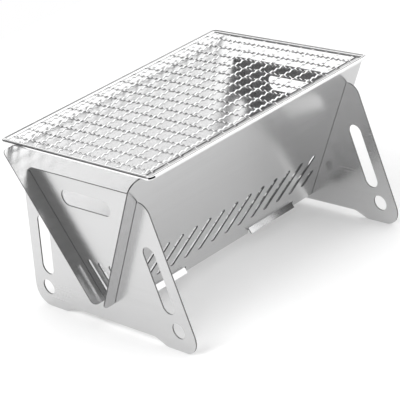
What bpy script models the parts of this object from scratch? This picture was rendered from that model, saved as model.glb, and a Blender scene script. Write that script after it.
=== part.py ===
"""Knock-down camp oven: two end plates, two leaning side panels and a wire cooking grate.

The frame is metres with +Z up. X runs along the fire trough, Y across it, and the floor is Z = 0.
The near end is the one at -X and the near side is the one at -Y.
"""

import math

import bmesh
import bpy

# Sheet metal and clearances
SHEET_GAUGE = 0.0010
SHEET_GAP = 0.0003

# Trough: the lean of the side panels from upright, where their mid planes cross, and their top edges
PANEL_LEAN = math.radians(30.0)
CROSS_HEIGHT = 0.0132
TROUGH_HEIGHT = 0.1322

# End plates
PLATE_SPAN = 0.2096
FOOT_HALF_WIDTH = 0.0897
FOOT_RADIUS = 0.0135
FOOT_LENGTH = 0.0346
RAMP_RUN = 0.0118
RAMP_RADIUS = 0.0070
BELLY_RISE = 0.0051
LEG_DROP = 0.0205
LEG_TOP_WIDTH = 0.0093
LEG_TOP_RADIUS = 0.0095
SLIT_LIP_RADIUS = 0.0006
CENTRE_DROP = 0.0159
CENTRE_CORNER_RADIUS = 0.0018
HANDLE_DROP = 0.0167
HANDLE_HALF_LENGTH = 0.0262
HANDLE_HALF_HEIGHT = 0.0062
LEG_SLOT_INSET = 0.0166
LEG_SLOT_LOW = 0.0345
LEG_SLOT_HIGH = 0.0718
LEG_SLOT_RADIUS = 0.0062
FOOT_HOLE_INSET = 0.0189
FOOT_HOLE_HEIGHT = 0.0164
FOOT_HOLE_RADIUS = 0.0060

# Side panels: places along the slope are measured up from the line where the panels cross
FLAP_REACH = 0.0107
FLAP_HEIGHT = 0.0100
FLAP_LOW_RADIUS = 0.0050
NEAR_TOP_RADIUS = 0.0085
FAR_TOP_RADIUS = 0.0035
LOCK_DEPTH = 0.0060
TAB_REACH = 0.0033
TAB_ROOM = 0.0012
TAB_SIDE_GAP = 0.00025
MIDDLE_TAB_HALF = 0.03325
END_TAB_LENGTH = 0.0230

# Vent slots
VENT_WIDTH = 0.0040
VENT_SLANT = math.radians(31.0)
VENT_PITCH = 0.01375
VENT_LOW = 0.0157
VENT_HIGH = 0.0435
VENT_FIELD_INSET = 0.0095
HATCH_COUNT = 3
HATCH_PITCH = 0.0113
HATCH_TOP = 0.0508
HATCH_START = 0.0096
HATCH_MARGIN = 0.0064

# Cooking grate
GRATE_END_OVERHANG = 0.00295
GRATE_SIDE_OVERHANG = 0.0115
RIM_FLANGE = 0.0040
RIM_GAUGE = 0.0004
RIM_CORNER_RADIUS = 0.0046
RIM_BEND_RADIUS = 0.0007
WIRE_DIAMETER = 0.0012
WIRE_ROOM = 0.0004
WEAVE_GAP = 0.0004
CROSS_WIRE_COUNT = 16
LONG_WIRE_COUNT = 12
FIRST_CROSS_INSET = 0.0099
LAST_CROSS_INSET = 0.0125
NEAR_LONG_INSET = 0.01225
FAR_LONG_INSET = 0.00905

# Fineness of the rounded stretches
ARC_STEP = math.radians(18.0)
BEND_STEPS = 2
CORNER_STEPS = 4
WIRE_BEVEL_RESOLUTION = 1

# Finishes: colour and roughness
PLATE_STEEL = ((0.62, 0.62, 0.63, 1.0), 0.22)
PANEL_STEEL = ((0.62, 0.62, 0.63, 1.0), 0.20)
RIM_STEEL = ((0.66, 0.66, 0.67, 1.0), 0.25)
WIRE_STEEL = ((0.72, 0.72, 0.73, 1.0), 0.25)

# Sizes that follow from the ones above
LEAN_SIN = math.sin(PANEL_LEAN)
LEAN_COS = math.cos(PANEL_LEAN)
LEAN_TAN = math.tan(PANEL_LEAN)
HALF_GAUGE = SHEET_GAUGE / 2
PLATE_OUTER = PLATE_SPAN / 2
PLATE_INNER = PLATE_OUTER - SHEET_GAUGE
SLIT_HALF_WIDTH = HALF_GAUGE + SHEET_GAP
LOCK_TOP = FLAP_HEIGHT + LOCK_DEPTH
SLIT_BOTTOM = LOCK_TOP - SHEET_GAP
CROSSING_HALF = HALF_GAUGE / LEAN_TAN
TAB_END = -(CROSSING_HALF + TAB_REACH)
NOTCH_TOP = CROSSING_HALF + TAB_ROOM
BODY_HALF = PLATE_INNER - SHEET_GAP
END_TAB_START = BODY_HALF - END_TAB_LENGTH
FLAP_START = PLATE_OUTER + SHEET_GAP
FLAP_END = PLATE_OUTER + FLAP_REACH
PANEL_TOP = (TROUGH_HEIGHT - CROSS_HEIGHT - HALF_GAUGE * LEAN_SIN) / LEAN_COS
CENTRE_TOP = TROUGH_HEIGHT - CENTRE_DROP
LEG_HEIGHT = TROUGH_HEIGHT - LEG_DROP
VENT_RADIUS = VENT_WIDTH / 2
WIRE_RADIUS = WIRE_DIAMETER / 2
RIM_HEIGHT = WIRE_DIAMETER + 2 * (RIM_GAUGE + WIRE_ROOM)
WEAVE_RISE = WIRE_RADIUS + WEAVE_GAP / 2
NET_LEVEL = TROUGH_HEIGHT + SHEET_GAP + max(WEAVE_RISE + WIRE_RADIUS, RIM_HEIGHT / 2)
GRATE_HALF_LENGTH = PLATE_OUTER + GRATE_END_OVERHANG
GRATE_HALF_WIDTH = PANEL_TOP * LEAN_SIN + HALF_GAUGE * LEAN_COS + GRATE_SIDE_OVERHANG


def clear_scene():
    """Start from an empty file."""
    for item in list(bpy.data.objects):
        bpy.data.objects.remove(item, do_unlink=True)


def steel(name, finish):
    """A plain stainless finish."""
    colour, roughness = finish
    material = bpy.data.materials.new(name)
    material.use_nodes = True
    shader = material.node_tree.nodes["Principled BSDF"]
    shader.inputs["Base Color"].default_value = colour
    shader.inputs["Metallic"].default_value = 1.0
    shader.inputs["Roughness"].default_value = roughness
    return material


def rounded_loop(corners):
    """Points of a closed outline whose corners are (x, y, radius)."""
    points = []
    for index, (x, y, radius) in enumerate(corners):
        before = corners[index - 1]
        after = corners[(index + 1) % len(corners)]
        if radius == 0:
            points.append((x, y))
            continue
        in_length = math.hypot(x - before[0], y - before[1])
        out_length = math.hypot(after[0] - x, after[1] - y)
        in_dir = ((x - before[0]) / in_length, (y - before[1]) / in_length)
        out_dir = ((after[0] - x) / out_length, (after[1] - y) / out_length)
        cross = in_dir[0] * out_dir[1] - in_dir[1] * out_dir[0]
        dot = in_dir[0] * out_dir[0] + in_dir[1] * out_dir[1]
        turn = math.atan2(cross, dot)
        reach = radius * math.tan(abs(turn) / 2)
        side = math.copysign(1, turn)
        start = (x - in_dir[0] * reach, y - in_dir[1] * reach)
        centre = (start[0] - in_dir[1] * side * radius, start[1] + in_dir[0] * side * radius)
        steps = max(2, math.ceil(abs(turn) / ARC_STEP))
        arm = (start[0] - centre[0], start[1] - centre[1])
        for step in range(steps + 1):
            swing = turn * step / steps
            points.append((
                centre[0] + arm[0] * math.cos(swing) - arm[1] * math.sin(swing),
                centre[1] + arm[0] * math.sin(swing) + arm[1] * math.cos(swing),
            ))
    return points


def slot_loop(start, end, radius):
    """Outline of a slot with round ends, from one end's centre to the other's."""
    heading = math.atan2(end[1] - start[1], end[0] - start[0])
    steps = math.ceil(math.pi / ARC_STEP)
    points = []
    for centre, first in ((end, heading - math.pi / 2), (start, heading + math.pi / 2)):
        for step in range(steps + 1):
            angle = first + math.pi * step / steps
            points.append((centre[0] + radius * math.cos(angle), centre[1] + radius * math.sin(angle)))
    return points


def circle_loop(centre, radius):
    """Outline of a round hole."""
    steps = math.ceil(2 * math.pi / ARC_STEP)
    return [
        (
            centre[0] + radius * math.cos(2 * math.pi * step / steps),
            centre[1] + radius * math.sin(2 * math.pi * step / steps),
        )
        for step in range(steps)
    ]


def sheet_mesh(name, outline, holes, material):
    """A flat sheet in its own XY plane, half its gauge to each side, with its holes cut through."""
    bm = bmesh.new()
    edges = []
    for loop in [outline] + holes:
        ring = [bm.verts.new((x, y, -HALF_GAUGE)) for x, y in loop]
        for index, vert in enumerate(ring):
            edges.append(bm.edges.new((ring[index - 1], vert)))
    bmesh.ops.triangle_fill(bm, edges=edges, use_beauty=True)
    lifted = bmesh.ops.extrude_face_region(bm, geom=bm.faces[:])
    top = [item for item in lifted["geom"] if isinstance(item, bmesh.types.BMVert)]
    bmesh.ops.translate(bm, verts=top, vec=(0, 0, SHEET_GAUGE))
    bmesh.ops.recalc_face_normals(bm, faces=bm.faces[:])
    mesh = bpy.data.meshes.new(name)
    bm.to_mesh(mesh)
    bm.free()
    mesh.materials.append(material)
    return mesh


def place(name, data, location, rotation, carrier=None):
    """Put a named piece into the scene, at a place measured from its carrier if it has one."""
    piece = bpy.data.objects.new(name, data)
    piece.location = location
    piece.rotation_euler = rotation
    piece.parent = carrier
    bpy.context.scene.collection.objects.link(piece)
    return piece


def slit_half_width_at(height):
    """Distance of the slit's mid line from the plate's middle, at a height."""
    return (height - CROSS_HEIGHT) * LEAN_TAN


def slit_point(along, side):
    """A point on a side of the right-hand slit: along the slope, and to the -1 or +1 side."""
    return (
        along * LEAN_SIN + side * SLIT_HALF_WIDTH * LEAN_COS,
        CROSS_HEIGHT + along * LEAN_COS - side * SLIT_HALF_WIDTH * LEAN_SIN,
    )


def slit_edge_at(height, side):
    """Where a side of the right-hand slit meets a height."""
    return slit_half_width_at(height) + side * SLIT_HALF_WIDTH / LEAN_COS


def leg_edge_at(height):
    """Half width of the plate across its legs, at a height."""
    top = slit_half_width_at(LEG_HEIGHT) + LEG_TOP_WIDTH
    return FOOT_HALF_WIDTH + (top - FOOT_HALF_WIDTH) * height / LEG_HEIGHT


def end_plate_outline():
    """The end plate seen from outside: two feet, two legs, two slits and the centre web."""
    foot_inner = FOOT_HALF_WIDTH - FOOT_LENGTH
    low_outer = slit_point(SLIT_BOTTOM, 1)
    low_inner = slit_point(SLIT_BOTTOM, -1)
    right = [
        (foot_inner - RAMP_RUN, BELLY_RISE, RAMP_RADIUS),
        (foot_inner, 0, RAMP_RADIUS),
        (FOOT_HALF_WIDTH, 0, FOOT_RADIUS),
        (leg_edge_at(LEG_HEIGHT), LEG_HEIGHT, LEG_TOP_RADIUS),
        (slit_edge_at(LEG_HEIGHT, 1), LEG_HEIGHT, SLIT_LIP_RADIUS),
        (low_outer[0], low_outer[1], 0),
        (low_inner[0], low_inner[1], 0),
        (slit_edge_at(CENTRE_TOP, -1), CENTRE_TOP, CENTRE_CORNER_RADIUS),
    ]
    left = [(-x, y, radius) for x, y, radius in reversed(right)]
    return rounded_loop(right + left)


def leg_slot(side):
    """The long slot in a leg, parallel to the leg's outer edge."""
    slope = (leg_edge_at(LEG_HEIGHT) - FOOT_HALF_WIDTH) / LEG_HEIGHT
    inset = LEG_SLOT_INSET * math.hypot(1, slope)
    low = (side * (leg_edge_at(LEG_SLOT_LOW) - inset), LEG_SLOT_LOW)
    high = (side * (leg_edge_at(LEG_SLOT_HIGH) - inset), LEG_SLOT_HIGH)
    return slot_loop(low, high, LEG_SLOT_RADIUS)


def hatch_slots():
    """Slanting vents in the centre web that stop short of the right-hand slit."""
    tangent = math.tan(VENT_SLANT)
    left_limit = -slit_half_width_at(HATCH_TOP)
    slots = []
    for index in range(HATCH_COUNT):
        top = (left_limit + HATCH_START + HATCH_PITCH * index, HATCH_TOP)
        reach = top[0] + top[1] * tangent
        height = (reach + CROSS_HEIGHT * LEAN_TAN + HATCH_MARGIN) / (LEAN_TAN + tangent)
        low = (reach - height * tangent, height)
        slots.append(slot_loop(low, top, VENT_RADIUS))
    return slots


def end_plates(material):
    """The two end plates, alike and turned to face outwards."""
    handle_height = CENTRE_TOP - HANDLE_DROP
    handle_reach = HANDLE_HALF_LENGTH - HANDLE_HALF_HEIGHT
    handle = slot_loop((-handle_reach, handle_height), (handle_reach, handle_height), HANDLE_HALF_HEIGHT)
    foot_hole_side = FOOT_HALF_WIDTH - FOOT_HOLE_INSET
    holes = [handle] + hatch_slots()
    for side in (-1, 1):
        holes.append(leg_slot(side))
        holes.append(circle_loop((side * foot_hole_side, FOOT_HOLE_HEIGHT), FOOT_HOLE_RADIUS))
    mesh = sheet_mesh("end_plate", end_plate_outline(), holes, material)
    middle = PLATE_OUTER - HALF_GAUGE
    upright = math.radians(90.0)
    place("near_end_plate", mesh, (-middle, 0, 0), (upright, 0, -upright))
    place("far_end_plate", mesh, (middle, 0, 0), (upright, 0, upright))


def lower_edge(steps):
    """Right half of a panel's lower edge: runs of (end of run, height of run), from the middle out."""
    corners = []
    for index, (end, height) in enumerate(steps):
        if index:
            corners.append((steps[index - 1][0], height, 0))
        corners.append((end, height, 0))
    return corners


def panel_outline(steps, top_radius):
    """A side panel: trough wall between the plates, and a flap past each plate."""
    right = lower_edge(steps) + [
        (BODY_HALF, LOCK_TOP, 0),
        (FLAP_START, LOCK_TOP, 0),
        (FLAP_START, FLAP_HEIGHT, 0),
        (FLAP_END, FLAP_HEIGHT, FLAP_LOW_RADIUS),
        (FLAP_END, PANEL_TOP, top_radius),
    ]
    left = [(-x, y, radius) for x, y, radius in reversed(right)]
    return rounded_loop(right + left)


def panel_vents():
    """Slanting vents along the foot of a panel, cut short where they near the end plates."""
    field = BODY_HALF - VENT_FIELD_INSET
    tangent = math.tan(VENT_SLANT)
    run = (VENT_HIGH - VENT_LOW) * tangent
    outermost = int((field + run / 2 - VENT_WIDTH) / VENT_PITCH)
    slots = []
    for index in range(-outermost, outermost + 1):
        first = index * VENT_PITCH - run / 2
        left = max(first, -field)
        right = min(first + run, field)
        low = (left, VENT_LOW + (left - first) / tangent)
        high = (right, VENT_LOW + (right - first) / tangent)
        slots.append(slot_loop(low, high, VENT_RADIUS))
    return slots


def side_panels(material):
    """The two leaning panels, whose lower edges pass through each other with tabs and notches."""
    near_steps = [
        (MIDDLE_TAB_HALF - TAB_SIDE_GAP, TAB_END),
        (END_TAB_START + TAB_SIDE_GAP, NOTCH_TOP),
        (BODY_HALF, TAB_END),
    ]
    far_steps = [
        (MIDDLE_TAB_HALF + TAB_SIDE_GAP, NOTCH_TOP),
        (END_TAB_START - TAB_SIDE_GAP, TAB_END),
        (BODY_HALF, NOTCH_TOP),
    ]
    tilt = math.radians(90.0) + PANEL_LEAN
    half_turn = math.radians(180.0)
    near_outline = panel_outline(near_steps, NEAR_TOP_RADIUS)
    far_outline = panel_outline(far_steps, FAR_TOP_RADIUS)
    near_mesh = sheet_mesh("near_side_panel", near_outline, panel_vents(), material)
    far_mesh = sheet_mesh("far_side_panel", far_outline, panel_vents(), material)
    place("near_side_panel", near_mesh, (0, 0, CROSS_HEIGHT), (tilt, 0, 0))
    place("far_side_panel", far_mesh, (0, 0, CROSS_HEIGHT), (tilt, 0, half_turn))


def rim_profile():
    """The rim's folded channel: (distance in from the outer face, height from mid level)."""
    outer = RIM_HEIGHT / 2
    inner = outer - RIM_GAUGE
    bend = RIM_BEND_RADIUS
    profile = [(RIM_FLANGE, -outer)]
    for height, first in ((-outer, 1), (outer, 0)):
        centre = (bend, math.copysign(outer - bend, height))
        for step in range(BEND_STEPS + 1):
            swing = math.pi / 2 * step / BEND_STEPS
            if first:
                offset = (-math.sin(swing), -math.cos(swing))
            else:
                offset = (-math.cos(swing), math.sin(swing))
            profile.append((centre[0] + bend * offset[0], centre[1] + bend * offset[1]))
    profile += [(RIM_FLANGE, outer), (RIM_FLANGE, inner), (RIM_GAUGE, inner)]
    profile += [(RIM_GAUGE, -inner), (RIM_FLANGE, -inner)]
    return profile


def grate_rim(carrier, material):
    """The rim: one channel folded round all four sides, open towards the net."""
    profile = rim_profile()
    corner_x = GRATE_HALF_LENGTH - RIM_CORNER_RADIUS
    corner_y = GRATE_HALF_WIDTH - RIM_CORNER_RADIUS
    bm = bmesh.new()
    rings = []
    for quarter, (x, y) in enumerate(((1, 1), (-1, 1), (-1, -1), (1, -1))):
        for step in range(CORNER_STEPS + 1):
            angle = math.pi / 2 * (quarter + step / CORNER_STEPS)
            ring = []
            for inset, height in profile:
                reach = RIM_CORNER_RADIUS - inset
                point = (
                    x * corner_x + reach * math.cos(angle),
                    y * corner_y + reach * math.sin(angle),
                    height,
                )
                ring.append(bm.verts.new(point))
            rings.append(ring)
    for index, ring in enumerate(rings):
        before = rings[index - 1]
        for place_in_ring in range(len(ring)):
            after = place_in_ring - 1
            bm.faces.new((before[after], before[place_in_ring], ring[place_in_ring], ring[after]))
    bmesh.ops.recalc_face_normals(bm, faces=bm.faces[:])
    mesh = bpy.data.meshes.new("grate_rim")
    bm.to_mesh(mesh)
    bm.free()
    mesh.materials.append(material)
    place("grate_rim", mesh, (0, 0, 0), (0, 0, 0), carrier)


def wire_curve(name, end, flange, crossings, first_side, material):
    """A crimped wire along its own X axis that passes over and under the wires it crosses."""
    points = [(-end, 0), (-flange, 0)]
    side = first_side
    for place_along in crossings:
        points.append((place_along, side * WEAVE_RISE))
        side = -side
    points += [(flange, 0), (end, 0)]
    curve = bpy.data.curves.new(name, "CURVE")
    curve.dimensions = "3D"
    curve.bevel_depth = WIRE_RADIUS
    curve.bevel_resolution = WIRE_BEVEL_RESOLUTION
    curve.use_fill_caps = True
    spline = curve.splines.new("POLY")
    spline.points.add(len(points) - 1)
    for point, (along, height) in zip(spline.points, points):
        point.co = (along, 0, height, 1)
    curve.materials.append(material)
    return curve


def spread(first, last, count):
    """Places of a row of wires, evenly from the first to the last."""
    return [first + (last - first) * index / (count - 1) for index in range(count)]


def wire_pair(name, half_span, crossings, first_side, material):
    """The two crimps that take turns in the net: what one passes over, the other passes under."""
    end = half_span - RIM_GAUGE - WIRE_ROOM
    flange = half_span - RIM_FLANGE
    return [
        wire_curve(name, end, flange, crossings, side, material)
        for side in (first_side, -first_side)
    ]


def wire_net(carrier, material):
    """The woven net: cross wires over and under long wires, their ends inside the rim's channel."""
    cross_places = spread(
        -GRATE_HALF_LENGTH + FIRST_CROSS_INSET, GRATE_HALF_LENGTH - LAST_CROSS_INSET, CROSS_WIRE_COUNT
    )
    long_places = spread(
        -GRATE_HALF_WIDTH + NEAR_LONG_INSET, GRATE_HALF_WIDTH - FAR_LONG_INSET, LONG_WIRE_COUNT
    )
    quarter_turn = math.radians(90.0)
    cross_curves = wire_pair("cross_wire", GRATE_HALF_WIDTH, long_places, -1, material)
    long_curves = wire_pair("long_wire", GRATE_HALF_LENGTH, cross_places, 1, material)
    for index, x in enumerate(cross_places):
        name = f"cross_wire_{index + 1:02d}"
        place(name, cross_curves[index % 2], (x, 0, 0), (0, 0, quarter_turn), carrier)
    for index, y in enumerate(long_places):
        name = f"long_wire_{index + 1:02d}"
        place(name, long_curves[index % 2], (0, y, 0), (0, 0, 0), carrier)


def main():
    clear_scene()
    end_plates(steel("plate_steel", PLATE_STEEL))
    side_panels(steel("panel_steel", PANEL_STEEL))
    grate = place("grate", None, (0, 0, NET_LEVEL), (0, 0, 0))
    grate_rim(grate, steel("rim_steel", RIM_STEEL))
    wire_net(grate, steel("wire_steel", WIRE_STEEL))


main()
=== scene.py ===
import math

import bmesh
import bpy
from bpy.props import FloatProperty, FloatVectorProperty, IntProperty, PointerProperty
from bpy.types import Operator, Panel, PropertyGroup
from mathutils import Matrix, Vector


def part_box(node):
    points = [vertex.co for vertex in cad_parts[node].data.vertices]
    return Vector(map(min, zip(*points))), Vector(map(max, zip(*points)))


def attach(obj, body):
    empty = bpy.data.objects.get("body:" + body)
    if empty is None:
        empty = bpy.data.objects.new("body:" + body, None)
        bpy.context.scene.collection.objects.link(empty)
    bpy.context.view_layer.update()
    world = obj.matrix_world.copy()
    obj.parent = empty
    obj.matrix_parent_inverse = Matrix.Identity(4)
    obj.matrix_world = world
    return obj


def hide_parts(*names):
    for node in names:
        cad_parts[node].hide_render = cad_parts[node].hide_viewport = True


bl_info = {
    "name": "Knock-down camp oven",
    "version": (1, 0, 0),
    "blender": (4, 5, 0),
    "location": "3D View > Sidebar > Camp oven",
    "description": "Dresses the packed camp oven in satin sheet steel and a woven wire grate",
    "category": "Object",
}

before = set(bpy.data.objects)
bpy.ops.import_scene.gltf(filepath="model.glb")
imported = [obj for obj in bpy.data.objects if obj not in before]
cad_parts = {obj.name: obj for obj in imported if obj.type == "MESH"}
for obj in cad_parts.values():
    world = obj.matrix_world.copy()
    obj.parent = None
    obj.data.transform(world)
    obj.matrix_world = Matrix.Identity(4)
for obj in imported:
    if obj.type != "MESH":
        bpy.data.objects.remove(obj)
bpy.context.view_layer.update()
PLATE_LOW, PLATE_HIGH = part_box("far_end_plate")
RIM_LOW, RIM_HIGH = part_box("grate_rim")

MM = 0.001
WAYS = (-1, 1)


# Settings

def length(name, about, default):
    """A size in metres."""
    return FloatProperty(name=name, description=about, default=default, precision=5, unit="LENGTH")


def turn(name, about, degrees):
    """An angle, given in degrees and kept in radians."""
    return FloatProperty(name=name, description=about, default=math.radians(degrees), subtype="ANGLE")


def share(name, about, default):
    """A number from 0 to 1."""
    return FloatProperty(name=name, description=about, default=default, min=0, max=1, subtype="FACTOR")


def colour(name, about, default):
    """A colour with its alpha."""
    return FloatVectorProperty(
        name=name, description=about, default=(*default, 1), size=4, min=0, max=1, subtype="COLOR"
    )


def strength(name, about, default):
    """A light's strength, where 1 shows as white."""
    return FloatProperty(name=name, description=about, default=default, min=0)


def count(name, about, default):
    """A number of like things."""
    return IntProperty(name=name, description=about, default=default, min=1)


class SheetSettings(PropertyGroup):
    """The sheet steel, and how the four sheets stand to each other."""

    gauge: length("Gauge", "Thickness of the sheet", PLATE_HIGH.x - PLATE_LOW.x)
    gap: length("Gap", "Room left where one sheet passes another", 0.3 * MM)
    lean: turn("Lean", "Lean of the side panels from upright", 30)
    crossing: length("Crossing height", "Height at which the side panels cross", 13.2 * MM)
    top: length("Trough height", "Height of the side panels' top edges", 132.2 * MM)
    outer: length("Outer face", "Distance of the end plates' outer faces from the middle", PLATE_HIGH.x)
    edge_round: length("Edge round", "Rounding along the cut edges", 0.12 * MM)
    worn_band: length("Worn band", "Width of the band along the cut edges that shows wear", 0.4 * MM)


class PlateSettings(PropertyGroup):
    """The outline and the openings of an end plate."""

    foot_half_width: length("Foot half width", "Half the width across the feet", 89.7 * MM)
    foot_radius: length("Foot radius", "Radius of a foot's outer corner", 13.5 * MM)
    foot_length: length("Foot length", "Length of a foot on the ground", 34.6 * MM)
    ramp_run: length("Ramp run", "Run of the slope beside a foot", 11.8 * MM)
    ramp_radius: length("Ramp radius", "Radius at both ends of that slope", 7 * MM)
    belly_rise: length("Belly rise", "Clearance between the feet", 5.1 * MM)
    leg_drop: length("Leg drop", "How far a leg's top lies under the trough's top", 20.5 * MM)
    leg_top_width: length("Leg top width", "Width of a leg's top from the slit's mid line", 9.3 * MM)
    leg_top_radius: length("Leg top radius", "Radius of a leg's top corner", 9.5 * MM)
    lip_radius: length("Slit lip radius", "Radius at a slit's mouth on the leg", 0.6 * MM)
    centre_drop: length("Centre drop", "How far the centre web's top lies under the trough's top", 15.9 * MM)
    centre_radius: length("Centre radius", "Radius of the centre web's top corners", 1.8 * MM)
    handle_drop: length("Handle drop", "Depth of the handle hole under the centre web's top", 16.7 * MM)
    handle_half_length: length("Handle half length", "Half the handle hole's length", 26.2 * MM)
    handle_radius: length("Handle radius", "Half the handle hole's height", 6.2 * MM)
    slot_inset: length("Leg slot inset", "Distance of a leg slot from the leg's outer edge", 16.6 * MM)
    slot_low: length("Leg slot low", "Height of the leg slot's lower end", 34.5 * MM)
    slot_high: length("Leg slot high", "Height of the leg slot's upper end", 71.8 * MM)
    slot_radius: length("Leg slot radius", "Half the leg slot's width", 6.2 * MM)
    hole_inset: length("Foot hole inset", "Distance of a foot hole from the foot's end", 18.9 * MM)
    hole_height: length("Foot hole height", "Height of a foot hole", 16.4 * MM)
    hole_radius: length("Foot hole radius", "Radius of a foot hole", 6.0 * MM)
    hatch_count: count("Hatch slots", "Vents in the centre web", 3)
    hatch_pitch: length("Hatch pitch", "Spacing of those vents", 11.3 * MM)
    hatch_top: length("Hatch top", "Height of their upper ends", 50.8 * MM)
    hatch_start: length("Hatch start", "Distance of the first one from the slit", 9.6 * MM)
    hatch_margin: length("Hatch margin", "Sheet left between their lower ends and the other slit", 6.4 * MM)


class PanelSettings(PropertyGroup):
    """The outline and the vents of a side panel. Heights are measured along its slope."""

    flap_reach: length("Flap reach", "How far a flap reaches past the end plate", 10.7 * MM)
    flap_height: length("Flap height", "Height of a flap's lower edge", 10 * MM)
    flap_low_radius: length("Flap low radius", "Radius of a flap's lower corner", 5 * MM)
    near_top_radius: length("Near flap top radius", "Radius of the near panel's upper corners", 8.5 * MM)
    far_top_radius: length("Far flap top radius", "Radius of the far panel's upper corners", 3.5 * MM)
    lock_depth: length("Lock depth", "Depth of the hook that sits on the end plate", 6 * MM)
    tab_reach: length("Tab reach", "How far the tabs pass the other panel", 3.3 * MM)
    tab_room: length("Tab room", "Room over a tab in the other panel's notch", 1.2 * MM)
    tab_side_gap: length("Tab side gap", "Room beside a tab", 0.25 * MM)
    middle_tab_half: length("Middle tab half", "Half the length of the middle tab", 33.25 * MM)
    end_tab: length("End tab length", "Length of the outermost tabs", 23 * MM)
    vent_radius: length("Vent radius", "Half the width of a vent", 2 * MM)
    vent_slant: turn("Vent slant", "Slant of the vents", 31)
    vent_pitch: length("Vent pitch", "Spacing of the vents", 13.75 * MM)
    vent_low: length("Vent low", "Height of the vents' lower ends", 15.7 * MM)
    vent_high: length("Vent high", "Height of the vents' upper ends", 43.5 * MM)
    vent_inset: length("Vent inset", "Distance of the outermost vents from the end plates", 9.5 * MM)


class RimSettings(PropertyGroup):
    """The folded channel round the net."""

    flange: length("Flange", "Width of the folded strip over and under the wires", 4 * MM)
    gauge: length("Gauge", "Thickness of the strip", 0.4 * MM)
    bend_radius: length("Bend radius", "Outer radius of the strip's two folds", 0.7 * MM)
    corner_radius: length("Corner radius", "Radius of the rim's corners", 4.6 * MM)
    dish: length("Dish", "Width over which the strip falls inwards from its outer edge", 2.0 * MM)
    pinch: length("Pinch", "How far it falls there, to where it is pressed onto the wires", 0.52 * MM)
    seam: length("Seam", "Slit between the strip's two edges", 0.16 * MM)
    mitre: length("Mitre", "Width of the seam across each corner", 0.25 * MM)
    end_turn: turn("End turn", "Turn of the corner over which the strip's ends stand open", 54)
    end_run: length("End run", "How far they stand open past the corner", 1.0 * MM)
    end_sill: length("End sill", "Height of the opening's lower edge under the rim's middle", 0.8 * MM)
    end_lip: length("End lip", "Edge left round that opening", 0.1 * MM)
    end_depth: length("End depth", "Depth of that opening", 1.4 * MM)


class NetSettings(PropertyGroup):
    """The woven wires."""

    wire: length("Wire", "Diameter of the wire", 1.2 * MM)
    rise: length("Rise", "Height of a wire's crimps from the net's level", 0.56 * MM)
    crimps: count("Crimps", "Crimps from one crossing to the next, an odd number", 5)
    knuckle: length("Knuckle", "Length of the bend at a crimp", 0.9 * MM)
    crown: length("Crown", "Bulge of the net's middle over its rim", 1.1 * MM)
    room: length("Room", "Room between a wire's end and the rim", 0.4 * MM)
    run_out: length("Run out", "Length without crimps where a wire goes into the rim", 2.2 * MM)
    end_drop: length("End drop", "How far the wires lie under the rim's middle inside it", 0.2 * MM)
    cross_count: count("Cross wires", "Wires across the trough", 16)
    long_count: count("Long wires", "Wires along the trough", 12)
    cross_first: length("First cross wire", "Inset of the cross wire at the near end", 9.9 * MM)
    cross_last: length("Last cross wire", "Inset of the cross wire at the far end", 12.5 * MM)
    long_first: length("First long wire", "Inset of the long wire at the near side", 12.25 * MM)
    long_last: length("Last long wire", "Inset of the long wire at the far side", 9.05 * MM)


class SteelSettings(PropertyGroup):
    """Colours and gloss of the steel."""

    sheet: colour("Sheet", "Satin stainless sheet", (0.62, 0.62, 0.622))
    plate_gloss: share("Plate roughness", "Roughness of the end plates", 0.24)
    panel_gloss: share("Panel roughness", "Roughness of the side panels", 0.22)
    cut: colour("Cut edge", "Cut edges of the sheet", (0.13, 0.13, 0.131))
    cut_gloss: share("Cut edge roughness", "Roughness of the cut edges", 0.45)
    # Painted shade: a near-black colour for the unlit inside of the folded strip and its open end
    inside: colour("Rim inside", "Unlit inside of the folded strip", (0.05, 0.05, 0.05))
    inside_gloss: share("Rim inside roughness", "Roughness inside the folded strip", 0.6)
    strip: colour("Rim", "Folded strip of the rim", (0.86, 0.86, 0.862))
    strip_gloss: share("Rim roughness", "Roughness of the rim", 0.14)
    wire: colour("Wire", "Bright drawn wire", (0.82, 0.82, 0.823))
    wire_gloss: share("Wire roughness", "Roughness of the wire", 0.18)
    worn: colour("Worn steel", "Rubbed steel along the edges", (0.7, 0.7, 0.702))
    smudge: colour("Smudge", "Film left by handling", (0.5, 0.495, 0.49))


class StageSettings(PropertyGroup):
    """The floor and the light."""

    floor: colour("Floor", "Pale floor", (0.8, 0.8, 0.8))
    floor_half: length("Floor half width", "Half the floor's width", 0.6)
    floor_lift: share("Floor lift", "Glow that takes the floor to white where no shadow falls", 0.17)
    around: strength("Light all round", "Strength of the even light that falls on everything", 0.65)
    spill: share("Spill", "Share of the mirrored light that falls on everything as well", 0.3)
    dark: strength("Mirrored dark", "Strength that the steel mirrors from the dark side", 0.02)
    side: strength("Mirrored side", "Strength that it mirrors from low on the right", 1.7)
    above: strength("Mirrored sky", "Strength that it mirrors from straight above", 1.85)
    backdrop: strength("Mirrored backdrop", "Strength that it mirrors from behind the oven", 1.2)
    lamp_size: length("Softbox size", "Side of the lamp on the left", 1.0)
    lamp_distance: length("Softbox distance", "Distance of the lamp from the oven", 1.5)
    lamp_power: FloatProperty(
        name="Softbox power", description="Power of the lamp on the left", default=11.0, unit="POWER"
    )


class OvenSettings(PropertyGroup):
    """All settings of the camp oven."""

    sheets: PointerProperty(type=SheetSettings)
    plates: PointerProperty(type=PlateSettings)
    panels: PointerProperty(type=PanelSettings)
    rim: PointerProperty(type=RimSettings)
    net: PointerProperty(type=NetSettings)
    steel: PointerProperty(type=SteelSettings)
    stage: PointerProperty(type=StageSettings)


# Node helpers

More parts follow.
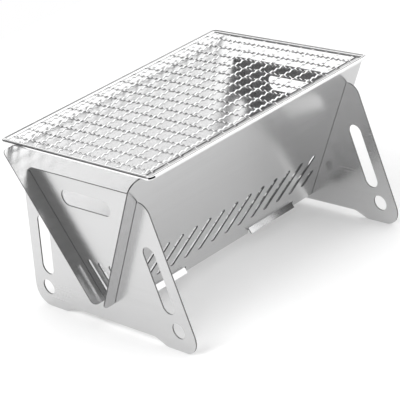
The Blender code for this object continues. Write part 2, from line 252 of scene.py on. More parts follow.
def add_node(tree, kind, settings=None, **inputs):
    """A node with its settings, and with a value or a socket on each input: by name, or i0 for the first."""
    node = tree.nodes.new(kind)
    for key, value in (settings or {}).items():
        setattr(node, key, value)
    for key, value in inputs.items():
        socket = node.inputs[int(key[1:])] if key[0] == "i" and key[1:].isdigit() else node.inputs[key]
        if isinstance(value, bpy.types.NodeSocket):
            tree.links.new(value, socket)
        else:
            socket.default_value = value
    return node


def math_node(tree, operation, first, second):
    """The result of a Math node on two values."""
    return add_node(tree, "ShaderNodeMath", {"operation": operation}, i0=first, i1=second).outputs[0]


def map_range(tree, value, low, high, to_low=0.0, to_high=1.0, smooth=True):
    """A value taken from one range to another."""
    settings = {"interpolation_type": "SMOOTHSTEP" if smooth else "LINEAR", "clamp": True}
    return add_node(
        tree, "ShaderNodeMapRange", settings, i0=value, i1=low, i2=high, i3=to_low, i4=to_high
    ).outputs[0]


def mix_colour(tree, factor, first, second):
    """Two colours mixed."""
    settings = {"data_type": "RGBA"}
    return add_node(tree, "ShaderNodeMix", settings, i0=factor, i6=first, i7=second).outputs[2]


def noise(tree, vector, scale, detail=2.0, roughness=0.5):
    """A noise value at the points of a vector."""
    node = add_node(
        tree, "ShaderNodeTexNoise", None, Vector=vector, Scale=scale, Detail=detail, Roughness=roughness
    )
    return node.outputs[0]


def stretched(tree, vector, scale):
    """A vector with each of its axes scaled."""
    return add_node(
        tree, "ShaderNodeVectorMath", {"operation": "MULTIPLY"}, i0=vector, i1=scale
    ).outputs[0]


def shader_group(name, inputs, outputs):
    """An empty node group with named sockets, its input node and its output node."""
    tree = bpy.data.node_groups.new(name, "ShaderNodeTree")
    for label, kind, value in inputs:
        socket = tree.interface.new_socket(name=label, in_out="INPUT", socket_type=kind)
        if value is not None:
            socket.default_value = value
    for label in outputs:
        tree.interface.new_socket(name=label, in_out="OUTPUT", socket_type="NodeSocketFloat")
    return tree, tree.nodes.new("NodeGroupInput"), tree.nodes.new("NodeGroupOutput")


# Steel

BROAD_GRAIN = 0.17
BROAD_SHARE = 0.6
GRAIN_RANGE = (0.3, 0.7)
GRAIN_LOW, GRAIN_RISE = 0.15, 0.7
CLOUD_RANGE = (0.48, 0.72)
HAIRLINE_SCALE = 0.45
HAIRLINE_RANGE = (0.7, 0.8)
PATCH_RANGE = (0.45, 0.65)
WEAR_SCALE = 260.0
WEAR_RANGE = (0.45, 1.05)


def rolled_grain():
    """Group: the fine lines of a rolled, brushed or drawn surface, along the axis with the least scale."""
    name = "rolled_grain"
    if name in bpy.data.node_groups:
        return bpy.data.node_groups[name]
    tree, given, result = shader_group(
        name,
        [("Vector", "NodeSocketVector", None), ("Lines", "NodeSocketVector", (1, 1, 1))],
        ["Height", "Tone"],
    )
    drawn = stretched(tree, given.outputs["Vector"], given.outputs["Lines"])
    fine = noise(tree, drawn, 1.0, 3.0, 0.6)
    broad = noise(tree, drawn, BROAD_GRAIN, 2.0)
    height = math_node(tree, "ADD", math_node(tree, "MULTIPLY", fine, GRAIN_RISE), GRAIN_LOW)
    tree.links.new(height, result.inputs["Height"])
    fine = math_node(tree, "MULTIPLY", fine, 1 - BROAD_SHARE)
    broad = math_node(tree, "MULTIPLY", broad, BROAD_SHARE)
    tone = map_range(tree, math_node(tree, "ADD", fine, broad), *GRAIN_RANGE, smooth=False)
    tree.links.new(tone, result.inputs["Tone"])
    return tree


def handling_marks():
    """Group: soft cloudy smudges, and a few straight hairlines along the grain."""
    name = "handling_marks"
    if name in bpy.data.node_groups:
        return bpy.data.node_groups[name]
    tree, given, result = shader_group(
        name,
        [("Vector", "NodeSocketVector", None), ("Size", "NodeSocketFloat", 20.0),
         ("Lines", "NodeSocketVector", (1, 1, 1))],
        ["Smudge", "Hairline"],
    )
    vector, size = given.outputs["Vector"], given.outputs["Size"]
    cloud = noise(tree, vector, size, 4.0, 0.55)
    tree.links.new(map_range(tree, cloud, *CLOUD_RANGE), result.inputs["Smudge"])
    drawn = stretched(tree, stretched(tree, vector, given.outputs["Lines"]), (HAIRLINE_SCALE,) * 3)
    line = map_range(tree, noise(tree, drawn, 1.0, 1.0), *HAIRLINE_RANGE)
    patches = noise(tree, vector, math_node(tree, "MULTIPLY", size, 2.0), 1.0)
    patch = map_range(tree, patches, *PATCH_RANGE)
    tree.links.new(math_node(tree, "MULTIPLY", line, patch), result.inputs["Hairline"])
    return tree


def edge_wear():
    """Group: a broken mask of rubbed steel along the edges."""
    name = "edge_wear"
    if name in bpy.data.node_groups:
        return bpy.data.node_groups[name]
    tree, given, result = shader_group(
        name,
        [("Vector", "NodeSocketVector", None), ("Band", "NodeSocketFloat", 0.0),
         ("Amount", "NodeSocketFloat", 0.5)],
        ["Wear"],
    )
    patchy = noise(tree, given.outputs["Vector"], WEAR_SCALE, 3.0)
    reach = math_node(tree, "ADD", given.outputs["Band"], math_node(tree, "SUBTRACT", patchy, 0.5))
    wear = map_range(tree, reach, *WEAR_RANGE)
    tree.links.new(math_node(tree, "MULTIPLY", wear, given.outputs["Amount"]), result.inputs["Wear"])
    return tree


def place_group(tree, group, **inputs):
    """A node group placed in a material with its own values."""
    return add_node(tree, "ShaderNodeGroup", {"node_tree": group}, **inputs)


SMUDGE_TONE = 0.06
SMUDGE_ROUGHNESS = 0.03
HAIRLINE_TONE = 0.12
GRAIN_ROUGHNESS = 0.04
WORN_SMOOTHING = 0.08
EDGE_WEAR = 0.6
PLATE_GRAIN = (2600, 34, 2600)
PANEL_GRAIN = (34, 2600, 2600)
CUT_GRAIN = (3000, 3000, 3000)
CUT_DEPTH = 0.05
STRIP_GRAIN = (900, 900, 2600)
INSIDE_GRAIN = (2600, 2600, 2600)
CROSS_GRAIN = (3000, 60, 3000)
LONG_GRAIN = (60, 3000, 3000)
STRIP_MARKS = 60.0
STRIP_UNEVENNESS = 0.06
WIRE_MARKS = 90.0
WIRE_UNEVENNESS = 0.08


def steel(name, base, gloss, lines, marks=9.0, wear=0.0, grain_depth=0.004, unevenness=0.03):
    """Stainless steel with a grain of some lines per metre along each axis, smudges, hairlines and wear."""
    if name in bpy.data.materials:
        return bpy.data.materials[name]
    settings = bpy.context.scene.camp_oven.steel
    material = bpy.data.materials.new(name)
    material.use_nodes = True
    material.diffuse_color = base
    tree = material.node_tree
    shader = tree.nodes["Principled BSDF"]
    shader.inputs["Metallic"].default_value = 1.0
    point = add_node(tree, "ShaderNodeTexCoord").outputs["Object"]
    grain = place_group(tree, rolled_grain(), Vector=point, Lines=lines)
    handled = place_group(tree, handling_marks(), Vector=point, Size=marks, Lines=lines)
    dark = [part * (1 - unevenness) for part in base[:3]] + [1]
    light = [min(1, part * (1 + unevenness)) for part in base[:3]] + [1]
    tone = mix_colour(tree, grain.outputs["Tone"], dark, light)
    film = math_node(tree, "MULTIPLY", handled.outputs["Smudge"], SMUDGE_TONE)
    tone = mix_colour(tree, film, tone, list(settings.smudge))
    hairline = math_node(tree, "MULTIPLY", handled.outputs["Hairline"], HAIRLINE_TONE)
    tone = mix_colour(tree, hairline, tone, light)
    lines_rough = math_node(tree, "MULTIPLY", grain.outputs["Tone"], GRAIN_ROUGHNESS)
    rough = math_node(tree, "ADD", gloss - GRAIN_ROUGHNESS / 2, lines_rough)
    film_rough = math_node(tree, "MULTIPLY", handled.outputs["Smudge"], SMUDGE_ROUGHNESS)
    rough = math_node(tree, "ADD", rough, film_rough)
    if wear:
        band = add_node(tree, "ShaderNodeAttribute", {"attribute_name": "edge_band"}).outputs["Fac"]
        worn = place_group(tree, edge_wear(), Vector=point, Band=band, Amount=wear).outputs["Wear"]
        tone = mix_colour(tree, worn, tone, list(settings.worn))
        rough = math_node(tree, "SUBTRACT", rough, math_node(tree, "MULTIPLY", worn, WORN_SMOOTHING))
    bump = add_node(
        tree, "ShaderNodeBump", None, Strength=1.0, Distance=grain_depth * MM, Height=grain.outputs["Height"]
    )
    tree.links.new(tone, shader.inputs["Base Color"])
    tree.links.new(rough, shader.inputs["Roughness"])
    tree.links.new(bump.outputs["Normal"], shader.inputs["Normal"])
    return material


def sheet_steels(finish, kind, gloss, grain):
    """The brushed face and the cut edge of a sheet."""
    return [
        steel(f"{kind}_satin", finish.sheet, gloss, grain, wear=EDGE_WEAR),
        steel(f"{kind}_cut_edge", finish.cut, finish.cut_gloss, CUT_GRAIN, grain_depth=CUT_DEPTH),
    ]


def rim_steels(finish):
    """The rim's folded strip, and its inside painted near black as shade."""
    return [
        steel(
            "rim_strip", finish.strip, finish.strip_gloss, STRIP_GRAIN,
            marks=STRIP_MARKS, unevenness=STRIP_UNEVENNESS,
        ),
        # Painted shade: this near-black steel stands for the unlit inside of the strip
        steel("rim_inside_painted_shade", finish.inside, finish.inside_gloss, INSIDE_GRAIN, grain_depth=CUT_DEPTH),
    ]


def wire_steel(finish, name, grain):
    """The bright steel of one row of wires, with its grain along them."""
    return steel(
        name, finish.wire, finish.wire_gloss, grain, marks=WIRE_MARKS, unevenness=WIRE_UNEVENNESS
    )


# Outlines and sheets

CORNER_SEGMENTS = 8
ROUND_SEGMENTS = 28
LEVEL = 0.999
SAME_HEIGHT = 1e-6
CLOSE = 0.01 * MM
QUARTER = math.radians(90)


def corner_outline(bm, corners):
    """A closed outline through (x, y, radius) corners, with each corner rounded by a bevel."""
    verts = [bm.verts.new((x, y, 0)) for x, y, _ in corners]
    bm.faces.new(verts)
    for vert, (_, _, radius) in zip(verts, corners):
        if radius:
            reach = radius * math.tan(vert.calc_edge_angle() / 2)
            bmesh.ops.bevel(
                bm, geom=[vert], offset=reach, offset_type="ABSOLUTE", affect="VERTICES",
                segments=CORNER_SEGMENTS, profile=0.5, material=-1,
            )
    bmesh.ops.delete(bm, geom=bm.faces[:], context="FACES_ONLY")


def slot_outline(bm, start, end, radius):
    """The outline of a slot with round ends: a circle with one half moved along."""
    run = Vector(end) - Vector(start)
    heading = Matrix.Rotation(math.atan2(run.y, run.x), 4, "Z")
    half_step = math.pi / ROUND_SEGMENTS
    placed = Matrix.Translation((*start, 0)) @ heading @ Matrix.Rotation(half_step, 4, "Z")
    ring = bmesh.ops.create_circle(
        bm, segments=ROUND_SEGMENTS, radius=radius / math.cos(half_step), matrix=placed
    )["verts"]
    ahead = [vert for vert in ring if (vert.co.xy - Vector(start)).dot(run) > 0]
    bmesh.ops.translate(bm, verts=ahead, vec=(run.x, run.y, 0))


def mirrored(right):
    """The corners of an outline from those of its right half."""
    return right + [(-x, y, radius) for x, y, radius in reversed(right)]


def cut_sheet(name, corners, slots, gauge, edge_round, worn_band):
    """A flat sheet with its openings, rounded cut edges and a narrow band along them for wear."""
    bm = bmesh.new()
    corner_outline(bm, corners)
    for slot in slots:
        slot_outline(bm, *slot)
    bmesh.ops.triangle_fill(bm, edges=bm.edges[:], use_beauty=True)
    bmesh.ops.translate(bm, verts=bm.verts[:], vec=(0, 0, -gauge / 2))
    lifted = bmesh.ops.extrude_face_region(bm, geom=bm.faces[:])["geom"]
    top = [item for item in lifted if isinstance(item, bmesh.types.BMVert)]
    bmesh.ops.translate(bm, verts=top, vec=(0, 0, gauge))
    bmesh.ops.recalc_face_normals(bm, faces=bm.faces[:])
    cut = [edge for edge in bm.edges if edge.calc_face_angle() > 1 and is_level(edge)]
    bmesh.ops.bevel(
        bm, geom=cut, offset=edge_round, offset_type="OFFSET", affect="EDGES",
        segments=2, profile=0.5, material=-1, clamp_overlap=True,
    )
    bm.normal_update()
    broad = [face for face in bm.faces if abs(face.normal.z) > LEVEL]
    bmesh.ops.inset_region(
        bm, faces=broad, thickness=worn_band, depth=0, use_even_offset=True, use_boundary=True
    )
    band = bm.verts.layers.float.new("edge_band")
    kept = {vert for face in broad for vert in face.verts}
    for vert in bm.verts:
        vert[band] = 0.0 if vert in kept else 1.0
    bm.normal_update()
    for face in bm.faces:
        face.smooth = True
        face.material_index = 0 if abs(face.normal.z) > LEVEL else 1
    return finished(bm, name, sharp_over=20)


def is_level(edge):
    """True for an edge that lies in the sheet's face, and not across its thickness."""
    return abs(edge.verts[0].co.z - edge.verts[1].co.z) < SAME_HEIGHT


def finished(bm, name, sharp_over):
    """The mesh of a bmesh, smooth but for the edges that turn by more than some degrees."""
    mesh = bpy.data.meshes.new(name)
    bm.to_mesh(mesh)
    bm.free()
    mesh.set_sharp_from_angle(angle=math.radians(sharp_over))
    return mesh


def add_piece(name, mesh, materials, body, node):
    """Put a finished mesh into the scene in place of a CAD node."""
    for material in materials:
        mesh.materials.append(material)
    piece = bpy.data.objects.new(name, mesh)
    bpy.context.scene.collection.objects.link(piece)
    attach(piece, body)
    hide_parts(node)
    return piece


# End plates

def slit_point(sheets, along, side):
    """A point on one side of the right-hand slit, some way up its slope."""
    half = sheets.gauge / 2 + sheets.gap
    sine, cosine = math.sin(sheets.lean), math.cos(sheets.lean)
    return along * sine + side * half * cosine, sheets.crossing + along * cosine - side * half * sine


def slit_edge(sheets, height, side):
    """Where one side of the right-hand slit meets a height."""
    half = sheets.gauge / 2 + sheets.gap
    return (height - sheets.crossing) * math.tan(sheets.lean) + side * half / math.cos(sheets.lean)


def leg_edge(sheets, plates, height):
    """Half the plate's width across its legs, at a height."""
    leg_top = sheets.top - plates.leg_drop
    top = slit_edge(sheets, leg_top, 0) + plates.leg_top_width
    return plates.foot_half_width + (top - plates.foot_half_width) * height / leg_top


def plate_corners(oven):
    """The corners of an end plate: feet, legs, slits and the centre web."""
    sheets, plates, panels = oven.sheets, oven.plates, oven.panels
    foot_inner = plates.foot_half_width - plates.foot_length
    leg_top = sheets.top - plates.leg_drop
    centre_top = sheets.top - plates.centre_drop
    slit_bottom = panels.flap_height + panels.lock_depth - sheets.gap
    return mirrored([
        (foot_inner - plates.ramp_run, plates.belly_rise, plates.ramp_radius),
        (foot_inner, 0, plates.ramp_radius),
        (plates.foot_half_width, 0, plates.foot_radius),
        (leg_edge(sheets, plates, leg_top), leg_top, plates.leg_top_radius),
        (slit_edge(sheets, leg_top, 1), leg_top, plates.lip_radius),
        (*slit_point(sheets, slit_bottom, 1), 0),
        (*slit_point(sheets, slit_bottom, -1), 0),
        (slit_edge(sheets, centre_top, -1), centre_top, plates.centre_radius),
    ])


def plate_openings(oven):
    """The handle hole, the leg slots, the foot holes and the hatch of vents, as (start, end, radius)."""
    sheets, plates, panels = oven.sheets, oven.plates, oven.panels
    leg_top = sheets.top - plates.leg_drop
    handle_height = sheets.top - plates.centre_drop - plates.handle_drop
    reach = plates.handle_half_length - plates.handle_radius
    openings = [((-reach, handle_height), (reach, handle_height), plates.handle_radius)]
    slope = (leg_edge(sheets, plates, leg_top) - plates.foot_half_width) / leg_top
    inset = plates.slot_inset * math.hypot(1, slope)
    for side in WAYS:
        low, high = (
            (side * (leg_edge(sheets, plates, height) - inset), height)
            for height in (plates.slot_low, plates.slot_high)
        )
        openings.append((low, high, plates.slot_radius))
        hole = side * (plates.foot_half_width - plates.hole_inset)
        openings.append(((hole, plates.hole_height), (hole, plates.hole_height), plates.hole_radius))
    slant, lean = math.tan(panels.vent_slant), math.tan(sheets.lean)
    for index in range(plates.hatch_count):
        top = plates.hatch_start + plates.hatch_pitch * index - slit_edge(sheets, plates.hatch_top, 0)
        reach = top + plates.hatch_top * slant
        height = (reach + sheets.crossing * lean + plates.hatch_margin) / (lean + slant)
        openings.append(((reach - height * slant, height), (top, plates.hatch_top), panels.vent_radius))
    return openings


class OVEN_OT_end_plates(Operator):
    """Cut the two end plates and stand them at the ends of the trough"""

    bl_idname = "camp_oven.end_plates"
    bl_label = "End plates"

    def execute(self, context):
        oven = context.scene.camp_oven
        sheets, finish = oven.sheets, oven.steel
        materials = sheet_steels(finish, "plate", finish.plate_gloss, PLATE_GRAIN)
        middle = sheets.outer - sheets.gauge / 2
        for name, node, way in (("near", "near_end_plate", -1), ("far", "far_end_plate", 1)):
            mesh = cut_sheet(
                f"{name}_plate", plate_corners(oven), plate_openings(oven),
                sheets.gauge, sheets.edge_round, sheets.worn_band,
            )
            upright = Matrix.Rotation(QUARTER, 4, "X")
            mesh.transform(
                Matrix.Translation((way * middle, 0, 0)) @ Matrix.Rotation(way * QUARTER, 4, "Z") @ upright
            )
            add_piece(f"{name}_end_plate_cut", mesh, materials, "stand", node)
        return {"FINISHED"}


# Side panels

def panel_corners(oven, steps, top_radius):
    """The corners of a side panel whose lower edge runs in (end, height) steps from the middle out."""
    sheets, panels = oven.sheets, oven.panels
    right = []
    for index, (end, height) in enumerate(steps):
        if index:
            right.append((steps[index - 1][0], height, 0))
        right.append((end, height, 0))
    inner = sheets.outer - sheets.gauge - sheets.gap
    lock = panels.flap_height + panels.lock_depth
    start, end = sheets.outer + sheets.gap, sheets.outer + panels.flap_reach
    rise = sheets.top - sheets.crossing - sheets.gauge / 2 * math.sin(sheets.lean)
    top = rise / math.cos(sheets.lean)
    right += [
        (inner, lock, 0),
        (start, lock, 0),
        (start, panels.flap_height, 0),
        (end, panels.flap_height, panels.flap_low_radius),
        (end, top, top_radius),
    ]
    return mirrored(right)


def panel_vents(oven):
    """The slanting vents of a side panel, as (start, end, radius), cut short near the end plates."""
    sheets, panels = oven.sheets, oven.panels
    field = sheets.outer - sheets.gauge - sheets.gap - panels.vent_inset
    slant = math.tan(panels.vent_slant)
    run = (panels.vent_high - panels.vent_low) * slant
    outermost = int((field + run / 2 - 2 * panels.vent_radius) / panels.vent_pitch)
    vents = []
    for index in range(-outermost, outermost + 1):
        first = index * panels.vent_pitch - run / 2
        low, high = (
            (place, panels.vent_low + (place - first) / slant)
            for place in (max(first, -field), min(first + run, field))
        )
        vents.append((low, high, panels.vent_radius))
    return vents


def lower_steps(oven, tabs_first):
    """The lower edge of a panel: tabs where the other panel has notches, and the other way round."""
    sheets, panels = oven.sheets, oven.panels
    crossing = sheets.gauge / 2 / math.tan(sheets.lean)
    tab, notch = -(crossing + panels.tab_reach), crossing + panels.tab_room
    inner = sheets.outer - sheets.gauge - sheets.gap
    gap = panels.tab_side_gap if tabs_first else -panels.tab_side_gap
    first, second = (tab, notch) if tabs_first else (notch, tab)
    return [
        (panels.middle_tab_half - gap, first), (inner - panels.end_tab + gap, second), (inner, first)
    ]


class OVEN_OT_side_panels(Operator):
    """Cut the two side panels and lean them apart in the end plates' slits"""

    bl_idname = "camp_oven.side_panels"
    bl_label = "Side panels"

    def execute(self, context):
        oven = context.scene.camp_oven
        sheets, finish = oven.sheets, oven.steel
        materials = sheet_steels(finish, "panel", finish.panel_gloss, PANEL_GRAIN)
        leant = Matrix.Rotation(QUARTER + sheets.lean, 4, "X")
        radii = (oven.panels.near_top_radius, oven.panels.far_top_radius)
        for name, half_turns, radius in zip(("near", "far"), (0, 1), radii):
            corners = panel_corners(oven, lower_steps(oven, name == "near"), radius)
            mesh = cut_sheet(
                f"{name}_panel", corners, panel_vents(oven), sheets.gauge, sheets.edge_round, sheets.worn_band
            )
            turned = Matrix.Rotation(half_turns * math.pi, 4, "Z")
            mesh.transform(Matrix.Translation((0, 0, sheets.crossing)) @ turned @ leant)
            add_piece(
                f"{name}_side_panel_cut", mesh, materials, f"{name}_panel",
                f"{name}_side_panel",
            )
        return {"FINISHED"}


# Grate

def rim_section(rim, height):
    """The edges of the rim's folded strip, in the XY plane: inwards from its outer face, and upwards."""
    half, nose = height / 2, height / 2 - rim.pinch
    slit, lip = rim.seam / 2, rim.gauge / 3
    right = [
        (rim.flange - rim.gauge, slit, 0), (rim.flange, slit, lip),
        (rim.flange - rim.gauge / 4, nose - rim.gauge, rim.gauge / 2),
        (rim.flange - 2 * rim.gauge, nose, rim.gauge),
        (rim.dish, nose, rim.gauge),
        (0, half, rim.bend_radius),
    ]
    bm = bmesh.new()
    corner_outline(bm, right + [(x, -y, radius) for x, y, radius in reversed(right)])
    return bm


def fold_round(bm, half_length, half_width, corner_radius):
    """Run the section along each side of the grate and round each corner."""
    span = Vector((half_length - corner_radius, half_width - corner_radius))
    ring = bm.edges[:]
    heading = Vector((0, 1, 0))
    for quarter in range(4):
        run = 2 * (span.y if quarter % 2 == 0 else span.x)
        made = bmesh.ops.extrude_edge_only(bm, edges=ring)["geom"]
        verts = [item for item in made if isinstance(item, bmesh.types.BMVert)]
        bmesh.ops.translate(bm, verts=verts, vec=heading * run)
        ring = [item for item in made if isinstance(item, bmesh.types.BMEdge)]
        ring = [edge for edge in ring if all(vert in verts for vert in edge.verts)]
        corner = Vector((span.x, span.y, 0))
        corner.x *= (1, -1, -1, 1)[quarter]
        corner.y *= (1, 1, -1, -1)[quarter]
        swept = bmesh.ops.spin(
            bm, geom=verts + ring, cent=corner, axis=(0, 0, 1), angle=QUARTER,
            steps=CORNER_SEGMENTS, use_merge=False, use_duplicate=False,
        )["geom_last"]
        ring = [item for item in swept if isinstance(item, bmesh.types.BMEdge)]
        heading = Matrix.Rotation(QUARTER, 3, "Z") @ heading
    bmesh.ops.remove_doubles(bm, verts=bm.verts[:], dist=CLOSE)
    bmesh.ops.recalc_face_normals(bm, faces=bm.faces[:])


SEAM_DEPTH = 0.55
STEEPNESS = 0.8


def score_mitres(bm, rim, half_length, half_width):
    """Press a thin seam across the rim at each corner, where the folded strips meet."""
    def on_seam(vert):
        across = (half_length - abs(vert.co.x)) - (half_width - abs(vert.co.y))
        return abs(across) < 2 * CLOSE and vert.co.z > rim.gauge

    seam = [edge for edge in bm.edges if on_seam(edge.verts[0]) and on_seam(edge.verts[1])]
    cut = bmesh.ops.bevel(
        bm, geom=seam, offset=rim.mitre / 2, offset_type="OFFSET", affect="EDGES",
        segments=2, profile=0.5, material=-1,
    )
    for vert in cut["verts"]:
        if on_seam(vert):
            vert.co.z -= rim.gauge * SEAM_DEPTH


def open_strip_end(bm, rim, half_length, half_width):
    """Hollow out the rim's near corner, where the strip's two ends meet and stand open, with its walls
    painted near black as shade.
    """
    corner = Vector((rim.corner_radius - half_length, rim.corner_radius - half_width, 0))
    for place, across in (
        (Vector((0, 0, -rim.end_sill)), (0, 0, 1)),
        (corner + Vector((rim.end_run, 0, 0)), (1, 0, 0)),
    ):
        bmesh.ops.bisect_plane(
            bm, geom=bm.verts[:] + bm.edges[:] + bm.faces[:], dist=CLOSE, plane_co=place, plane_no=across
        )

    def stands_open(face):
        middle = face.calc_center_median()
        away = middle - corner
        turned = math.atan2(-away.x, -away.y)
        facing_out = 0 <= face.normal.z < STEEPNESS and face.normal.xy.dot(away.xy) > 0
        on_corner = middle.y < corner.y and away.x < rim.end_run and turned < rim.end_turn
        return facing_out and on_corner and middle.z > -rim.end_sill

    bm.normal_update()
    wall = [face for face in bm.faces if stands_open(face)]
    bmesh.ops.inset_region(bm, faces=wall, thickness=rim.end_lip, use_even_offset=True, use_boundary=True)
    sides = bmesh.ops.inset_region(
        bm, faces=wall, thickness=rim.end_lip / 2, depth=-rim.end_depth,
        use_even_offset=True, use_boundary=True,
    )["faces"]
    # Painted shade: the opening's walls take the near-black rim inside steel
    for face in wall + sides:
        face.material_index = 1


class OVEN_OT_grate_rim(Operator):
    """Fold the grate's rim round the net"""

    bl_idname = "camp_oven.grate_rim"
    bl_label = "Grate rim"

    def execute(self, context):
        oven = context.scene.camp_oven
        rim = oven.rim
        bm = rim_section(rim, RIM_HIGH.z - RIM_LOW.z)
        upright = Matrix((
            (-1, 0, 0, RIM_HIGH.x),
            (0, 0, 1, RIM_LOW.y + rim.corner_radius),
            (0, 1, 0, 0),
            (0, 0, 0, 1),
        ))
        bmesh.ops.transform(bm, matrix=upright, verts=bm.verts[:])
        fold_round(bm, RIM_HIGH.x, RIM_HIGH.y, rim.corner_radius)
        open_strip_end(bm, rim, RIM_HIGH.x, RIM_HIGH.y)
        score_mitres(bm, rim, RIM_HIGH.x, RIM_HIGH.y)
        for face in bm.faces:
            face.smooth = True
        mesh = finished(bm, "rim", sharp_over=30)
        mesh.transform(Matrix.Translation((0, 0, (RIM_HIGH.z + RIM_LOW.z) / 2)))
        add_piece("grate_rim_folded", mesh, rim_steels(oven.steel), "grate", "grate_rim")
        return {"FINISHED"}


def spread(first, last, number):
    """Places of a row of wires, evenly from the first to the last."""
    return [first + (last - first) * index / (number - 1) for index in range(number)]


def net_places(net):
    """Places of the cross wires along the trough, and of the long wires across it."""
    cross = spread(RIM_LOW.x + net.cross_first, RIM_HIGH.x - net.cross_last, net.cross_count)
    along = spread(RIM_LOW.y + net.long_first, RIM_HIGH.y - net.long_last, net.long_count)
    return cross, along


def crimped_path(net, end, flange, crossings, side):
    """(place, height) points of a wire with crimps in step with the wires it passes over and under."""
    step = (crossings[1] - crossings[0]) / net.crimps
    reach = net.knuckle / 2
    slope = 2 * net.rise / (step - reach)
    before = int((crossings[0] + flange - reach) / step)
    place = crossings[0] - before * step
    side *= (-1) ** before
    path = [(-end, -net.end_drop), (-flange, -net.end_drop)]
    while place < flange - net.run_out:
        for offset in (-reach, 0, reach):
            path.append((place + offset, side * (net.rise - slope * abs(offset) / 2)))
        place += step
        side = -side
    return path + [(flange, -net.end_drop), (end, -net.end_drop)]


WIRE_SIDES = 8


def drawn_wire(name, radius, path):
    """A round wire pulled along a path from its first end, with both ends closed."""
    tilts = [
        math.atan2(after[1] - before[1], after[0] - before[0])
        for before, after in zip(path[:1] + path, path[1:] + path[-1:])
    ]
    stood = Matrix.Translation((path[0][0], 0, path[0][1])) @ Matrix.Rotation(QUARTER, 4, "Y")
    bm = bmesh.new()
    bmesh.ops.create_circle(bm, cap_ends=True, segments=WIRE_SIDES, radius=radius, matrix=stood)
    edges = bm.edges[:]
    for index in range(1, len(path)):
        made = bmesh.ops.extrude_edge_only(bm, edges=edges)["geom"]
        verts = [item for item in made if isinstance(item, bmesh.types.BMVert)]
        move = (path[index][0] - path[index - 1][0], 0, path[index][1] - path[index - 1][1])
        bmesh.ops.translate(bm, verts=verts, vec=move)
        bmesh.ops.rotate(
            bm, verts=verts, cent=(path[index][0], 0, path[index][1]),
            matrix=Matrix.Rotation(tilts[index - 1] - tilts[index], 3, "Y"),
        )
        edges = [
            item for item in made
            if isinstance(item, bmesh.types.BMEdge) and all(vert in verts for vert in item.verts)
        ]
    bmesh.ops.contextual_create(bm, geom=edges)
    bmesh.ops.recalc_face_normals(bm, faces=bm.faces[:])
    for face in bm.faces:
        face.smooth = len(face.verts) == 4
    return finished(bm, name, sharp_over=60)


def add_wires(oven, kind, places, half_span, crossings, first_side, quarter_turns, material):
    """One row of the net's wires, each in its own place and crimped the other way from the one before."""
    rim, net = oven.rim, oven.net
    end = half_span - rim.gauge - net.room
    flange = half_span - rim.flange
    pair = [
        drawn_wire(f"{kind}_crimped", net.wire / 2, crimped_path(net, end, flange, crossings, side))
        for side in (first_side, -first_side)
    ]
    level = (RIM_LOW.z + RIM_HIGH.z) / 2
    for index, place in enumerate(places):
        mesh = pair[index % 2].copy()
        at = (place, 0, level) if quarter_turns else (0, place, level)
        mesh.transform(Matrix.Translation(at) @ Matrix.Rotation(quarter_turns * QUARTER, 4, "Z"))
        for vert in mesh.vertices:
            across = (vert.co.x / RIM_HIGH.x, vert.co.y / RIM_HIGH.y)
            vert.co.z += net.crown * max(0, 1 - across[0] ** 2) * max(0, 1 - across[1] ** 2)
        node = f"{kind}_{index + 1:02d}"
        add_piece(f"{node}_drawn", mesh, [material], "grate", node)


class OVEN_OT_cross_wires(Operator):
    """Weave the wires that cross the trough"""

    bl_idname = "camp_oven.cross_wires"
    bl_label = "Cross wires"

    def execute(self, context):
        oven = context.scene.camp_oven
        cross, along = net_places(oven.net)
        material = wire_steel(oven.steel, "cross_wire_steel", CROSS_GRAIN)
        add_wires(oven, "cross_wire", cross, RIM_HIGH.y, along, -1, 1, material)
        return {"FINISHED"}


class OVEN_OT_long_wires(Operator):
    """Weave the wires that run along the trough"""

    bl_idname = "camp_oven.long_wires"
    bl_label = "Long wires"

    def execute(self, context):
        oven = context.scene.camp_oven
        cross, along = net_places(oven.net)
        material = wire_steel(oven.steel, "long_wire_steel", LONG_GRAIN)
        add_wires(oven, "long_wire", along, RIM_HIGH.x, cross, 1, 0, material)
        return {"FINISHED"}


# Stage

CAMERA_PLACE = Vector((-0.77190, -0.96083, 0.60819))
CAMERA_FORWARD = Vector((0.568166, 0.714756, -0.407813))
CAMERA_UP = Vector((0.414989, 0.179080, 0.892028))
LENS = 166.99
FILM_WIDTH = 36
FRAMING_SHIFT = (0.0079, -0.0096)
CLIPPING = (0.05, 20)


def seen_or_mirrored(tree):
    """1 where a ray comes from the camera, a mirroring surface or glass, and 0 elsewhere."""
    path = add_node(tree, "ShaderNodeLightPath")
    seen = math_node(tree, "MAXIMUM", path.outputs["Is Camera Ray"], path.outputs["Is Glossy Ray"])
    return math_node(tree, "MAXIMUM", seen, path.outputs["Is Transmission Ray"])


def lay_floor(stage):
    """A wide pale floor that keeps the oven's shadow and is white elsewhere."""
    bm = bmesh.new()
    bmesh.ops.create_grid(bm, x_segments=2, y_segments=2, size=stage.floor_half)
    mesh = bpy.data.meshes.new("floor")
    bm.to_mesh(mesh)
    bm.free()
    material = bpy.data.materials.new("pale_floor")
    material.use_nodes = True
    tree = material.node_tree
    tree.nodes.remove(tree.nodes["Principled BSDF"])
    matt = add_node(tree, "ShaderNodeBsdfDiffuse", None, Color=list(stage.floor))
    strength = math_node(tree, "MULTIPLY", seen_or_mirrored(tree), stage.floor_lift)
    glow = add_node(tree, "ShaderNodeEmission", None, Strength=strength)
    both = add_node(tree, "ShaderNodeAddShader", None, i0=matt.outputs[0], i1=glow.outputs[0])
    tree.links.new(both.outputs[0], tree.nodes["Material Output"].inputs["Surface"])
    mesh.materials.append(material)
    floor = bpy.data.objects.new("floor", mesh)
    bpy.context.scene.collection.objects.link(floor)


SIDE_LIGHT = Vector((0.67, -0.72, 0.17)).normalized()
SIDE_COSINES = (0.07, 0.92)
BACKDROP = Vector((0.64, 0.67, 0.42)).normalized()
BACKDROP_COSINES = (0.955, 0.99)
UPWARD = Vector((0, 0, 1))
SKY_COSINES = (0.63, 1.0)
LAMP_SIDE = Vector((-1, 0, 1)).normalized()


